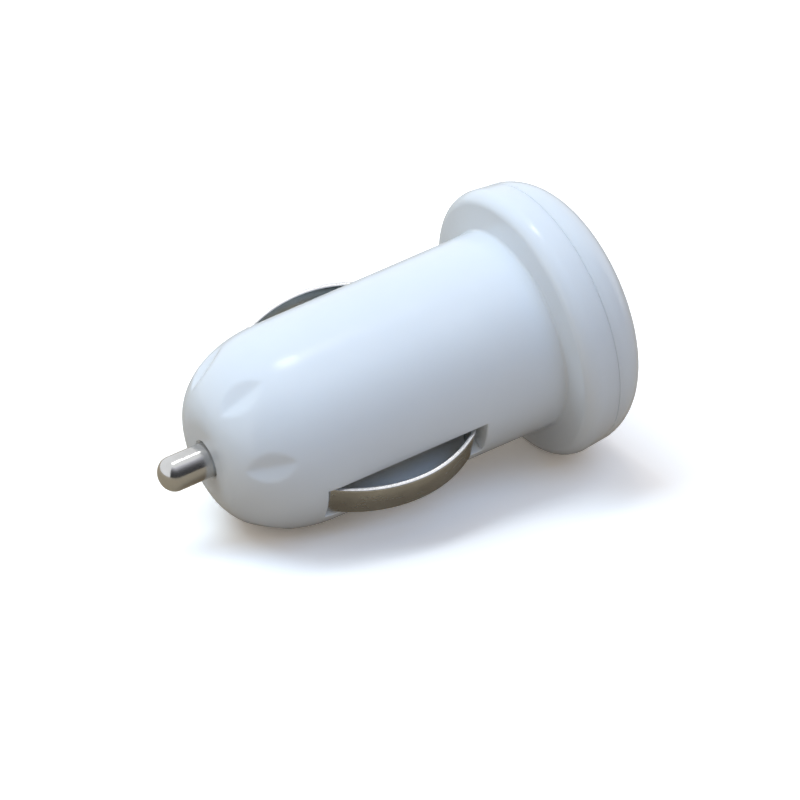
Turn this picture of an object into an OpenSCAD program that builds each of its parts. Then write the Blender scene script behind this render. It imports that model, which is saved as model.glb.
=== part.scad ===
// Car socket charger plug with one USB port.
// It stands on its flat face: Z runs from the face up to the nose, X through the two side contacts.

/* [Barrel] */
// Barrel diameter where it meets the head
barrel_d = 20.7; // [20.4:0.1:20.9]
// Barrel diameter at the shoulder of the nose
shoulder_d = 20.1; // [19.9:0.1:20.3]
// Length of the tapered barrel, from the head to the shoulder
barrel_len = 24.5; // [24:0.5:30]
// Length of the rounded nose
nose_len = 9.75; // [9.25:0.25:12]
// Diameter of the flat tip of the nose
nose_flat_d = 7; // [6.5:0.25:8]
// Wall of the nose round the centre pin
nose_wall = 2; // [1.8:0.1:2.4]
// Inner diameter of the barrel
bore_d = 17; // [16.9:0.1:17.4]
// Radius where the barrel runs into the head
root_fillet = 0.3; // [0.1:0.05:0.6]

/* [Nose dimples] */
// Angle between neighbouring dimples
dimple_pitch = 52; // [40:1:56]
// Distance of the dimples below the tip of the nose
dimple_drop = 3.05; // [2.8:0.05:3.6]
// Depth of a dimple
dimple_depth = 0.45; // [0.2:0.05:0.7]
// Width of a dimple
dimple_w = 2.7; // [2:0.1:3.2]
// Length of a dimple along the nose
dimple_len = 4.8; // [3.6:0.1:5.2]

/* [Head] */
// Largest diameter of the head
head_d = 28.1; // [27:0.1:32]
// Height of the head, from the face to the barrel
head_h = 8.05; // [7.75:0.05:9]
// Height of the seam between the face cap and the flange
seam_h = 4.25; // [4:0.05:4.5]
// Diameter of the flat face that the plug stands on
face_d = 19; // [18:0.5:20]
// Width of the rounded edge on the barrel side of the head
rim_round = 1.15; // [0.8:0.05:1.5]
// Thickness of the face
face_wall = 1.3; // [1.1:0.1:1.4]
// Wall of the flange round the cap's skirt
flange_wall = 1.75; // [1.5:0.05:2]
// Thickness of the cap's skirt
skirt_wall = 1.1; // [0.9:0.1:1.3]
// Height of the snap bead on the skirt
snap_h = 0.3; // [0.2:0.05:0.35]
// Chamfer on both edges of the seam
seam_chamfer = 0.12; // [0.05:0.01:0.2]

/* [Centre pin] */
// Diameter of the pin
pin_d = 3.45; // [3:0.05:3.6]
// Length of the pin outside the nose
pin_out = 5; // [4:0.25:6]
// Length of the rounded end of the pin
pin_round = 1.5; // [1:0.1:1.7]
// How far the pin can be pushed in
pin_travel = 3; // [2:0.25:3.25]
// Diameter of the collar that holds the pin in
collar_d = 6.2; // [5.8:0.1:6.4]
// Thickness of the collar
collar_h = 1.2; // [0.8:0.1:1.4]
// Outer diameter of the spring
spring_d = 5.2; // [4.8:0.1:5.3]
// Wire of the spring
spring_wire = 0.5; // [0.4:0.05:0.55]
// Turns of the spring
spring_turns = 5; // [4:0.5:5.5]

/* [Side contacts] */
// Width of the contact strip
strip_w = 3.65; // [3:0.05:4]
// Thickness of the contact strip
strip_t = 0.5; // [0.4:0.05:0.55]
// How far the crest stands out of the barrel
crest_h = 2.1; // [1.8:0.02:2.26]
// Place of the crest along the slot, from the head end, as a share of the slot
crest_share = 0.469; // [0.43:0.001:0.51]
// Radius of the bend at the free tail of the strip
tail_bend_r = 2.6; // [2.2:0.1:2.8]
// How far the slot runs past the shoulder into the nose
slot_past = 2.05; // [1.8:0.05:2.1]
// Width of the slot
slot_w = 4.4; // [4.2:0.1:5]
// How far the ribs along the slot stand into the bore
slot_rib_h = 1.2; // [0.8:0.1:1.4]
// Thickness of those ribs
slot_rib_t = 0.8; // [0.6:0.1:1]

/* [USB socket] */
// Inner width of the metal shell
usb_w = 12.5; // [12.4:0.1:12.8]
// Inner height of the metal shell
usb_h = 5.12; // [5:0.02:5.4]
// Sheet of the metal shell
usb_t = 0.3; // [0.25:0.05:0.35]
// Length of the metal shell
usb_len = 14; // [13.5:0.1:14]
// Depth of the socket behind its mouth
usb_depth = 8.9; // [8.5:0.1:9.3]
// Gap on either side of the tongue
tongue_side = 0.7; // [0.6:0.05:0.9]
// Thickness of the tongue
tongue_t = 1.84; // [1.7:0.02:1.9]
// Width of the lead-in round the port
port_chamfer = 0.6; // [0.3:0.1:0.8]

/* [Circuit board] */
// Thickness of the board
board_t = 1; // [0.8:0.1:1.2]
// Width of the board beside the USB socket
board_w = 16.4; // [15.8:0.1:16.4]
// Width of the board between the side contacts
waist_w = 13.2; // [12.6:0.1:13.4]
// Height of the board's neck between the USB socket and the side contacts' notches
neck_h = 1.05; // [0.8:0.05:1.5]

/* [Parts on the board] */
// Diameter of the input capacitor
cap_in_d = 6.3; // [5:0.1:6.3]
// Diameter of the output capacitor, as a share of the board's free length
cap_out_share = 0.37; // [0.3:0.01:0.38]
// Height of the output capacitor
cap_out_h = 6.9; // [5:0.1:6.9]
// Diameter of the inductor, as a share of the board's free length
coil_share = 0.5; // [0.42:0.01:0.5]
// Height of the inductor
coil_h = 5; // [4:0.1:5.2]
// Diameter of the status lamp
lamp_d = 3; // [2.6:0.1:3]
// Distance of the status lamp from the middle of the face
lamp_at = 6.4; // [6.3:0.1:6.6]

/* [Hidden] */

// Clearances, and how far joined shapes run into each other
slide_gap = 0.08;
fit_gap = 0.15;
free_gap = 0.2;
part_gap = 0.45;
overlap = 0.3;

// Heights of the head, the barrel and the nose
shoulder_z = head_h + barrel_len;
tip_z = shoulder_z + nose_len;
rim_depth = 1.75;
rim_slope = 0.15;
flange_floor_depth = 1.45;
skirt_end_gap = 0.3;
rim_z = head_h - rim_depth;
rim_edge_z = head_h - rim_slope;
flange_floor_z = head_h - flange_floor_depth;
skirt_top_z = flange_floor_z - skirt_end_gap;
barrel_r = barrel_d / 2;
shoulder_r = shoulder_d / 2;
nose_flat_r = nose_flat_d / 2;
bore_r = bore_d / 2;
head_r = head_d / 2;
seam_inset = 0.18;
seam_r = head_r - seam_inset;
face_r = face_d / 2;
flange_bore_r = seam_r - flange_wall;
skirt_r = flange_bore_r - fit_gap;
snap_half = 0.45;
snap_end_gap = 0.375;
snap_z = skirt_top_z - snap_half - snap_end_gap;
skirt_chamfer = 0.3;
cup_inset = 1;
cup_drop = 0.2;
key_w = 2;
key_depth = 0.7;
frame_wall = 0.75;
frame_h = 1.8;

// Centre pin, its sleeve in the nose and its spring
pin_r = pin_d / 2;
collar_r = collar_d / 2;
collar_stop_z = tip_z - nose_wall;
collar_gap = 0.05;
collar_top_z = collar_stop_z - collar_gap;
spring_top_z = collar_top_z - collar_h;
spring_spare = 0.6;
spring_room = pin_travel + (spring_turns + 1) * spring_wire + spring_spare;
seat_top_z = spring_top_z - spring_room;
seat_t = 0.3;
seat_wall_h = 0.8;
seat_foot_len = 0.9;
sleeve_wall = 1.35;
sleeve_gap = 0.4;
sleeve_bore_r = collar_r + slide_gap;
sleeve_r = sleeve_bore_r + sleeve_wall;
sleeve_z = seat_top_z + seat_wall_h + sleeve_gap;
pin_chamfer = 0.25;
spigot_r = 1.25;
spigot_h = 2;
spigot_chamfer = 0.3;
seat_foot_w = 2;
cup_r = spring_d / 2 + fit_gap;
nub_r = 1.2;
nub_h = 0.6;

// USB socket
shell_w = usb_w + 2 * usb_t;
shell_h = usb_h + 2 * usb_t;
shell_z0 = face_wall + fit_gap;
shell_z1 = shell_z0 + usb_len;
shell_round = 0.7;
lip_h = 0.8;
lip_out = 0.55;
lip_root = 0.2;
window_x = shell_w / 4;
window_w = 2.2;
window_z = shell_z0 + 3.2;
window_len = 5;
tab_w = 1.6;
tab_len = 4.4;
tab_lean = 4;
shell_ear_z = shell_z0 + 8;
shell_ear_len = 2.5;
stop_z = shell_z0 + usb_depth;
tongue_w = usb_w - 2 * tongue_side;
tongue_inset = 0.9;
tongue_over = 0.66;
tongue_step = 0.25;
tongue_step_len = 0.3;
block_end_gap = 0.1;
tongue_z0 = shell_z0 + tongue_inset;
tongue_y = usb_h / 2 - tongue_over - tongue_t / 2;
contact_inner = 1;
contact_outer = 3.5;
contact_xs = [-contact_outer, -contact_inner, contact_inner, contact_outer];
contact_w = 1;
contact_t = 0.25;
contact_y = tongue_y - tongue_t / 2;
contact_foot = 1.9;

// Slots of the side contacts: from the board's neck behind the USB socket to past the shoulder
socket_gap_z = shell_z1 + free_gap;
slot_z0 = socket_gap_z + neck_h + 2 * free_gap;
slot_z1 = shoulder_z + slot_past;
slot_len = slot_z1 - slot_z0;

// Side contacts, as distances from the axis and heights: two arcs meet at the crest, and
// each runs into a tighter bend where the strip goes back through the slot
crest_z = slot_z0 + slot_len * crest_share;
barrel_taper = (barrel_r - shoulder_r) / barrel_len;
crest_r = barrel_r - barrel_taper * (crest_z - head_h) + crest_h;
tail_bend_inset = 0.25;
tail_bend_run = 3.25;
tail_bend_x = bore_r - tail_bend_inset;
tail_bend_z = slot_z0 + tail_bend_run;
tail_angle = 75;
tail_len = 0.8;
hook_bend_r = 0.8;
hook_bend_inset = 1.3;
hook_bend_x = shoulder_r - hook_bend_inset;
hook_foot_r = 0.3;
hook_inset = 0.8;
hook_x = bore_r - hook_inset;
hook_slot_gap = 0.15;
hook_z = slot_z1 - hook_slot_gap;
hook_len = 1.5;
hook_end_z = hook_z + hook_len;
tail_clear_x = 4.5;

// Radius of the arc from the crest that runs smoothly into a bend of radius r, whose centre
// lies at a length along the barrel from the crest and at a depth below it
function crest_arc_r(length, depth, r) = (length ^ 2 + depth ^ 2 - r ^ 2) / (2 * (depth - r));
crest_r_head = crest_arc_r(crest_z - tail_bend_z, crest_r - tail_bend_x, tail_bend_r);
crest_r_nose = crest_arc_r(hook_z - hook_bend_r - crest_z, crest_r - hook_bend_x, hook_bend_r);
dive_angle = asin((crest_z - tail_bend_z) / (crest_r_head - tail_bend_r));
bend_angle = asin((hook_z - hook_bend_r - crest_z) / (crest_r_nose - hook_bend_r));

// Circuit board, which lies in the plane of the two side contacts
board_start_gap = 0.8;
board_z0 = flange_floor_z + board_start_gap;
board_y = board_t / 2;
notch_h = 2.6;
notch_z0 = socket_gap_z + neck_h;
board_end_z = seat_top_z - seat_t - free_gap;
ear_x = hook_x - strip_t - fit_gap;
ear_in_x = sleeve_r + sleeve_gap;
ear_step = 0.35;
ear_past = 0.4;
ear_pad_h = 1;
rail_side = 0.9;
rail_x = shell_w / 2 + rail_side;
rail_gap = 0.1;
rail_t = 1;

// Parts on the board: the inductor and the output capacitor share its free length on one
// face, and the chip and the lying input capacitor share the other
lead_r = 0.25;
lead_stub = 0.4;
foot_end_z = socket_gap_z + contact_foot;
parts_room = board_end_z - seat_foot_len - foot_end_z;
coil_d = parts_room * coil_share;
coil_z = foot_end_z + part_gap + coil_d / 2;
cap_out_d = parts_room * cap_out_share;
cap_out_z = coil_z + coil_d / 2 + part_gap + cap_out_d / 2;
chip_w = 4.9;
chip_l = 3.9;
chip_h = 1.45;
chip_lift = 0.1;
chip_pitch = 1.27;
chip_lead_len = 1.05;
chip_gap = 1.7;
chip_z = socket_gap_z + chip_gap + chip_lead_len + chip_l / 2;
cap_in_lead_z = coil_z + coil_d / 2 + lead_r;
cap_in_lead_len = 0.6;
cap_in_z0 = cap_in_lead_z + cap_in_lead_len;
can_foot = 0.35;
cap_in_len = board_end_z - cap_in_z0 - fit_gap;
cap_in_lift = 0.55;
cap_in_y = board_y + cap_in_lift + cap_in_d / 2;
lamp_r = lamp_d / 2;
lamp_top_gap = 0.35;
lamp_dome_h = 1.2;
lamp_rim = 0.35;
lamp_rim_h = 0.9;
lamp_base_z = 5.2;
lamp_lead_x = 1.27;
lamp_lead_half = 0.25;
lamp_lead_z = socket_gap_z + 0.6;

// Distance of a capacitor's leads from its middle
function lead_spread(can_d) = can_d / 5;

$fn = 96;

// Points of an ellipse about c, from angle a0 to a1
function ellipse_arc(c, rx, ry, a0, a1, n) =
    [for (i = [0:n]) let (a = a0 + (a1 - a0) * i / n) [c[0] + rx * cos(a), c[1] + ry * sin(a)]];

function reversed(points) = [for (i = [len(points) - 1:-1:0]) points[i]];

// Rectangle with rounded corners, centred, as points
function round_box(w, h, r) = concat(
    ellipse_arc([w / 2 - r, h / 2 - r], r, r, 0, 90, 5),
    ellipse_arc([r - w / 2, h / 2 - r], r, r, 90, 180, 5),
    ellipse_arc([r - w / 2, r - h / 2], r, r, 180, 270, 5),
    ellipse_arc([w / 2 - r, r - h / 2], r, r, 270, 360, 5));

// Radius of the nose's inside at a height above the shoulder
inner_nose_h = nose_len - nose_wall;
inner_nose_w = bore_r - nose_flat_r;
sleeve_root_angle = acos((sleeve_r - nose_flat_r) / inner_nose_w);

// Half section of the one-piece housing: flange, barrel, nose and the pin's sleeve
function housing_profile() = concat(
    [[flange_bore_r, seam_h], [seam_r - seam_chamfer, seam_h], [seam_r, seam_h + seam_chamfer]],
    ellipse_arc([head_r - rim_round, rim_z], rim_round, rim_edge_z - rim_z, 0, 90, 10),
    [[barrel_r + root_fillet, head_h]],
    ellipse_arc([barrel_r + root_fillet, head_h + root_fillet], root_fillet, root_fillet, 270, 180, 4),
    ellipse_arc([nose_flat_r, shoulder_z], shoulder_r - nose_flat_r, nose_len, 0, 90, 18),
    [[pin_r + slide_gap + pin_chamfer, tip_z], [pin_r + slide_gap, tip_z - pin_chamfer],
     [pin_r + slide_gap, collar_stop_z], [sleeve_bore_r, collar_stop_z],
     [sleeve_bore_r, sleeve_z], [sleeve_r, sleeve_z]],
    ellipse_arc([nose_flat_r, shoulder_z], inner_nose_w, inner_nose_h, sleeve_root_angle, 0, 10),
    [[bore_r, flange_floor_z], [flange_bore_r, flange_floor_z],
     [flange_bore_r, snap_z + snap_half], [flange_bore_r + snap_h, snap_z],
     [flange_bore_r, snap_z - snap_half]]);

// Half section of the face cap with its snap skirt
function cap_profile() = concat(
    [[0, 0], [face_r, 0]],
    ellipse_arc([face_r, seam_h], seam_r - face_r, seam_h, 270, 350, 12),
    [[seam_r, seam_h - seam_chamfer], [seam_r - seam_chamfer, seam_h], [skirt_r, seam_h],
     [skirt_r, snap_z - snap_half], [skirt_r + snap_h, snap_z], [skirt_r, snap_z + snap_half],
     [skirt_r, skirt_top_z - skirt_chamfer], [skirt_r - skirt_chamfer, skirt_top_z],
     [skirt_r - skirt_wall, skirt_top_z]],
    ellipse_arc([face_r - cup_inset, seam_h - cup_drop], skirt_r - skirt_wall - face_r + cup_inset,
        seam_h - cup_drop - face_wall, 0, -90, 8),
    [[0, face_wall]]);

// One almond-shaped dimple: a slim barrel-shaped cutter laid along the curve of the nose
module dimple_cutter(azimuth) {
    a = asin(1 - dimple_drop / nose_len);
    rx = shoulder_r - nose_flat_r;
    slope = [-rx * sin(a), nose_len * cos(a)];
    out = [slope[1], -slope[0]] / norm(slope);
    nose_r = nose_flat_r + rx * cos(a);
    across = (dimple_w / 2) ^ 2 / (2 * dimple_depth);
    along = (dimple_len / 2) ^ 2 / (2 * dimple_depth);
    waist = across * nose_r / (nose_r - across);
    sweep = along * nose_len / (nose_len - along);
    half = dimple_len * 0.8;
    centre = [nose_r, tip_z - dimple_drop] + out * (waist - dimple_depth);
    rotate([0, 0, azimuth])
        translate([centre[0], 0, centre[1]])
            rotate([0, atan2(slope[0], slope[1]), 0])
                rotate_extrude()
                    polygon(concat([[0, half], [0, -half]],
                        [for (i = [-4:4]) let (s = half * i / 4) [waist - s * s / (2 * sweep), s]]));
}

// Ribs inside the bore that carry on the long sides of each slot
module slot_ribs() {
    for (side = [0, 180], edge = [-slot_w / 2 - slot_rib_t, slot_w / 2])
        rotate([0, 0, side])
            translate([bore_r - slot_rib_h, edge, slot_z0])
                cube([slot_rib_h + overlap, slot_rib_t, slot_len]);
}

// Two rails that guide the edges of the circuit board
module board_rails() {
    for (side = [-1, 1], face = [-1, 1])
        translate([side > 0 ? rail_x : -bore_r - overlap,
                   face > 0 ? board_y + rail_gap : -board_y - rail_gap - rail_t, board_z0])
            cube([bore_r + overlap - rail_x, rail_t, notch_z0 - board_z0]);
}

module barrel_housing() {
    color("white") difference() {
        union() {
            rotate_extrude($fn = 160) polygon(housing_profile());
            board_rails();
            slot_ribs();
        }
        for (side = [0, 180])
            rotate([0, 0, side])
                translate([bore_r - slot_rib_h - 1, -slot_w / 2, slot_z0])
                    cube([barrel_r, slot_w, slot_len]);
        for (middle = [90, 270], step = [-1:1])
            dimple_cutter(middle + step * dimple_pitch);
        translate([-key_w / 2 - fit_gap, flange_bore_r - 1, seam_h - 1])
            cube([key_w + 2 * fit_gap, 1 + key_depth + fit_gap, flange_floor_z - seam_h + 1]);
    }
}

// Port with sloping lead-in on all four sides
module port_cut() {
    w = usb_w + free_gap;
    h = usb_h + free_gap;
    translate([-w / 2, -h / 2, -1]) cube([w, h, face_wall + 2]);
    intersection() {
        translate([0, head_r, 0])
            rotate([90, 0, 0])
                linear_extrude(head_d)
                    polygon([[-w / 2 - port_chamfer, 0], [w / 2 + port_chamfer, 0],
                        [w / 2, port_chamfer], [-w / 2, port_chamfer]]);
        translate([-head_r, 0, 0])
            rotate([90, 0, 90])
                linear_extrude(head_d)
                    polygon([[-h / 2 - port_chamfer, 0], [h / 2 + port_chamfer, 0],
                        [h / 2, port_chamfer], [-h / 2, port_chamfer]]);
    }
}

// Low frame inside the face that centres the mouth of the USB shell
module mouth_frame() {
    w = shell_w + 2 * (lip_out + free_gap);
    h = shell_h + 2 * (lip_out + free_gap);
    translate([0, 0, face_wall - overlap])
        linear_extrude(frame_h + overlap)
            difference() {
                square([w + 2 * frame_wall, h + 2 * frame_wall], center = true);
                square([w, h], center = true);
            }
}

module head_cap() {
    color("white") difference() {
        union() {
            rotate_extrude($fn = 160) polygon(cap_profile());
            mouth_frame();
            translate([-key_w / 2, skirt_r - overlap, seam_h - overlap])
                cube([key_w, overlap + key_depth, skirt_top_z - seam_h]);
        }
        port_cut();
        translate([0, -lamp_at, -1]) cylinder(h = face_wall + 2, r = lamp_r + fit_gap);
    }
}

module centre_pin() {
    color("silver") rotate_extrude()
        polygon(concat(
            [[0, spring_top_z - spigot_h], [spigot_r - spigot_chamfer, spring_top_z - spigot_h],
             [spigot_r, spring_top_z - spigot_h + spigot_chamfer], [spigot_r, spring_top_z],
             [collar_r, spring_top_z], [collar_r, collar_top_z], [pin_r, collar_top_z]],
            ellipse_arc([0, tip_z + pin_out - pin_round], pin_r, pin_round, 0, 90, 12)));
}

// Round wire swept along points, with flat ends
module swept_wire(path, r, sides) {
    last = len(path) - 1;
    rings = [for (i = [0:last])
        let (t = path[min(i + 1, last)] - path[max(i - 1, 0)],
             f = t / norm(t),
             s = cross([0, 0, 1], f),
             u = s / norm(s),
             v = cross(f, u))
        [for (k = [0:sides - 1]) path[i] + r * (cos(360 * k / sides) * u + sin(360 * k / sides) * v)]];
    points = [for (ring = rings, p = ring) p];
    skin = [for (i = [0:last - 1], k = [0:sides - 1])
        let (a = i * sides + k, b = i * sides + (k + 1) % sides)
        [a, a + sides, b + sides, b]];
    polyhedron(points, concat([[for (k = [0:sides - 1]) k]], skin,
        [[for (k = [sides - 1:-1:0]) last * sides + k]]), convexity = 10);
}

// Height of the spring wire's centre: one closed turn at each end, even pitch between
function coil_height(u, wire, length) =
    let (closed = 1 / spring_turns, lo = wire / 2, hi = length - wire / 2, w = wire * 1.05)
    u < closed ? lo + w * u / closed :
    u > 1 - closed ? hi - w * (1 - u) / closed :
    lo + w + (hi - lo - 2 * w) * (u - closed) / (1 - 2 * closed);

module pin_spring() {
    steps = ceil(spring_turns * 20);
    gap = 0.03;
    length = spring_room - 2 * gap;
    r = (spring_d - spring_wire) / 2;
    color("gainsboro")
        swept_wire([for (i = [0:steps]) let (a = 360 * spring_turns * i / steps)
            [r * cos(a), r * sin(a), seat_top_z + gap + coil_height(i / steps, spring_wire, length)]],
            spring_wire / 2, 8);
}

// Pressed cup at the end of the board that the spring stands in
module spring_seat() {
    color("goldenrod") {
        difference() {
            translate([0, 0, seat_top_z - seat_t])
                cylinder(h = seat_t + seat_wall_h, r = cup_r + seat_t);
            translate([0, 0, seat_top_z]) cylinder(h = seat_wall_h + 1, r = cup_r);
        }
        translate([0, 0, seat_top_z - overlap / 2]) cylinder(h = nub_h + overlap / 2, r = nub_r);
        for (face = [-1, 1])
            translate([-seat_foot_w / 2, face > 0 ? board_y : -board_y - seat_t,
                       board_end_z - seat_foot_len])
                cube([seat_foot_w, seat_t, seat_top_z - board_end_z + seat_foot_len - overlap / 3]);
    }
}

// One face of the bent strip, inset from the outer face, from the free tail to the hook
function strip_face(inset) =
    let (c_head = [crest_r - crest_r_head, crest_z],
         c_nose = [crest_r - crest_r_nose, crest_z],
         dive = [tail_bend_x, tail_bend_z],
         tail = dive + (tail_bend_r - inset) * [cos(tail_angle), -sin(tail_angle)],
         hook_c = [hook_x + hook_foot_r, hook_z + hook_foot_r])
    concat(
        [tail - tail_len * [sin(tail_angle), cos(tail_angle)]],
        ellipse_arc(dive, tail_bend_r - inset, tail_bend_r - inset, -tail_angle, -dive_angle, 5),
        ellipse_arc(c_head, crest_r_head - inset, crest_r_head - inset, -dive_angle * 5 / 6, 0, 6),
        ellipse_arc(c_nose, crest_r_nose - inset, crest_r_nose - inset,
            bend_angle / 6, bend_angle * 5 / 6, 5),
        ellipse_arc([hook_bend_x, hook_z - hook_bend_r], hook_bend_r - inset, hook_bend_r - inset,
            bend_angle, 90, 5),
        ellipse_arc(hook_c, hook_foot_r + inset, hook_foot_r + inset, 270, 180, 4),
        [[hook_x - inset, hook_end_z]]);

module contact_strip() {
    translate([0, strip_w / 2, 0])
        rotate([90, 0, 0])
            linear_extrude(strip_w)
                polygon(concat(strip_face(0), reversed(strip_face(strip_t))));
}

module right_contact() {
    color("darkgray") contact_strip();
}

module left_contact() {
    color("darkgray") rotate([0, 0, 180]) contact_strip();
}

// Fork of the board beside the pin's sleeve, with a pad that the end of a contact's hook meets
module board_ear() {
    root_z = board_end_z - seat_foot_len;
    top_z = hook_end_z + ear_past;
    translate([ear_in_x, root_z]) square([ear_x - ear_in_x - ear_step, top_z - root_z]);
    translate([ear_in_x, top_z - ear_pad_h]) square([ear_x - ear_in_x, ear_pad_h]);
}

module circuit_board() {
    cut_x = shell_w / 2 + free_gap;
    color("darkgreen") difference() {
        rotate([90, 0, 0])
            translate([0, 0, -board_y])
                linear_extrude(board_t)
                    difference() {
                        union() {
                            translate([-board_w / 2, board_z0])
                                square([board_w, notch_z0 - board_z0]);
                            translate([-waist_w / 2, socket_gap_z])
                                square([waist_w, board_end_z - socket_gap_z]);
                            for (side = [0, 1])
                                mirror([side, 0]) board_ear();
                        }
                        translate([-cut_x, 0]) square([2 * cut_x, socket_gap_z]);
                        for (side = [-1, 1])
                            translate([side > 0 ? tail_clear_x : -tail_clear_x - head_r, notch_z0])
                                square([head_r, notch_h]);
                    }
        for (x = [-1, 1],
             spot = [[lead_spread(cap_out_d), cap_out_z], [lead_spread(cap_in_d), cap_in_lead_z]])
            translate([x * spot[0], board_t, spot[1]])
                rotate([90, 0, 0]) cylinder(h = 2 * board_t, r = lead_r + 0.1, $fn = 32);
    }
}

// Flared lip of the shell, drawn in the plane across the sheet
module flared_lip(reach, length) {
    translate([0, -length / 2, 0])
        rotate([90, 0, 0])
            mirror([0, 0, 1])
                linear_extrude(length)
                    polygon([[reach, shell_z0 + lip_h + lip_root], [reach, shell_z0 + lip_h],
                        [reach + lip_out - 0.2, shell_z0], [reach + lip_out, shell_z0 + 0.15],
                        [reach + usb_t, shell_z0 + lip_h], [reach + usb_t, shell_z0 + lip_h + lip_root]]);
}

module usb_shell() {
    corner_w = shell_round + usb_t / 2;
    color("silver") {
        difference() {
            translate([0, 0, shell_z0 + lip_h])
                linear_extrude(usb_len - lip_h)
                    difference() {
                        polygon(round_box(shell_w, shell_h, shell_round));
                        polygon(round_box(usb_w, usb_h, shell_round - usb_t));
                    }
            for (x = [-window_x, window_x])
                translate([x - window_w / 2, -shell_h, window_z])
                    cube([window_w, 2 * shell_h, window_len]);
        }
        for (turn = [0, 180]) rotate([0, 0, turn]) flared_lip(usb_w / 2, shell_h - 2 * corner_w);
        for (turn = [90, 270]) rotate([0, 0, turn]) flared_lip(usb_h / 2, shell_w - 2 * corner_w);
        for (x = [-window_x, window_x], turn = [0, 180])
            rotate([0, 0, turn])
                translate([x, usb_h / 2 + usb_t / 2, window_z + window_len])
                    rotate([180 - tab_lean, 0, 0])
                        translate([-tab_w / 2, -usb_t / 2, -overlap])
                            cube([tab_w, usb_t, tab_len + overlap]);
        for (side = [-1, 1])
            translate([side > 0 ? shell_w / 2 - usb_t / 2 : -rail_x + free_gap, board_y, shell_ear_z])
                cube([rail_x - free_gap - shell_w / 2 + usb_t / 2, usb_t, shell_ear_len]);
    }
}

module usb_insulator() {
    block_w = usb_w - 2 * slide_gap;
    block_h = usb_h - 2 * slide_gap;
    color("whitesmoke") difference() {
        union() {
            translate([0, 0, stop_z])
                linear_extrude(shell_z1 - block_end_gap - stop_z)
                    polygon(round_box(block_w, block_h, shell_round - usb_t));
            translate([-tongue_w / 2, contact_y, tongue_z0 + tongue_step_len])
                cube([tongue_w, tongue_t, stop_z - tongue_z0]);
            translate([-tongue_w / 2 + tongue_step, contact_y + tongue_step, tongue_z0])
                cube([tongue_w - 2 * tongue_step, tongue_t - 2 * tongue_step, 2 * tongue_step_len]);
        }
        for (x = contact_xs)
            translate([x - contact_w / 2 - slide_gap, contact_y - contact_t - slide_gap, stop_z - 1])
                cube([contact_w + 2 * slide_gap, contact_t + slide_gap, usb_len]);
    }
}

module usb_contacts() {
    start_z = tongue_z0 + 1;
    back_z = socket_gap_z;
    foot_y = board_y + contact_t;
    color("gold") for (x = contact_xs)
        translate([x - contact_w / 2, 0, 0])
            rotate([90, 0, 90])
                linear_extrude(contact_w)
                    polygon([[contact_y, start_z], [contact_y, back_z - contact_t],
                        [foot_y, back_z - contact_t], [foot_y, back_z + contact_foot],
                        [board_y, back_z + contact_foot], [board_y, back_z],
                        [contact_y - contact_t, back_z], [contact_y - contact_t, start_z + 0.4]]);
}

// Clear lamp with a domed end and a base ring
module status_lamp() {
    color("azure") translate([0, -lamp_at, 0])
        rotate_extrude($fn = 64)
            polygon(concat(
                [[0, lamp_base_z], [lamp_r + lamp_rim, lamp_base_z],
                 [lamp_r + lamp_rim, lamp_base_z - lamp_rim_h], [lamp_r, lamp_base_z - lamp_rim_h]],
                ellipse_arc([0, lamp_top_gap + lamp_dome_h], lamp_r, lamp_dome_h, 0, -90, 8)));
}

module lamp_leads() {
    t = 2 * lamp_lead_half;
    color("silver") for (x = [-lamp_lead_x, lamp_lead_x])
        translate([x - lamp_lead_half, -lamp_at - lamp_lead_half, lamp_base_z]) {
            cube([t, t, lamp_lead_z - lamp_base_z + t]);
            translate([0, 0, lamp_lead_z - lamp_base_z])
                cube([t, lamp_at - board_y + lamp_lead_half, t]);
        }
}

// Part of the board's top face, turned so that its own Z points away from the board
module on_top(x, z) {
    translate([x, board_y, z]) rotate([-90, 0, 0]) children();
}

module under_board(x, z) {
    translate([x, -board_y, z]) rotate([90, 0, 0]) children();
}

coil_waist = coil_d / 2 - 1.5;
coil_flange = 0.8;
coil_edge = 0.2;
wire_gap = 0.05;

module inductor_core() {
    color("dimgray") on_top(0, coil_z)
        rotate_extrude()
            polygon([[0, 0], [coil_d / 2, 0], [coil_d / 2, coil_flange + coil_edge],
                [coil_waist, coil_flange + coil_edge], [coil_waist, coil_h - coil_flange],
                [coil_d / 2 - coil_edge, coil_h - coil_flange],
                [coil_d / 2, coil_h - coil_flange + coil_edge],
                [coil_d / 2, coil_h - coil_edge], [coil_d / 2 - coil_edge, coil_h], [0, coil_h]]);
}

// Copper winding with the ripple of its outer turns
module inductor_winding() {
    lo = coil_flange + coil_edge + wire_gap;
    hi = coil_h - coil_flange - wire_gap;
    turns = 7;
    wire = (hi - lo) / turns;
    outer = coil_d / 2 - 0.3;
    color("chocolate") on_top(0, coil_z)
        rotate_extrude()
            polygon(concat([[coil_waist + wire_gap, hi], [coil_waist + wire_gap, lo]],
                [for (i = [0:turns - 1], a = [-60:40:60])
                    [outer - wire / 2 + wire / 2 * cos(a), lo + wire * (i + 0.5 + 0.5 * sin(a))]]));
}

// Aluminium can with its crimped neck and rounded closed end, standing on Z = 0
module capacitor_can(d, h) {
    r = d / 2;
    neck = 0.25;
    round = 0.35;
    top_w = 0.9;
    top_dip = 0.12;
    rotate_extrude()
        polygon(concat(
            [[0, can_foot], [r - 0.7, can_foot], [r - 0.5, 0], [r - 0.2, 0], [r, 0.3], [r, 0.9],
             [r - neck, 1.15], [r - neck, 1.35], [r, 1.6]],
            ellipse_arc([r - round, h - round], round, round, 0, 90, 4),
            [[r - top_w, h], [r - top_w - 0.1, h - top_dip], [0, h - top_dip]]));
}

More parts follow.
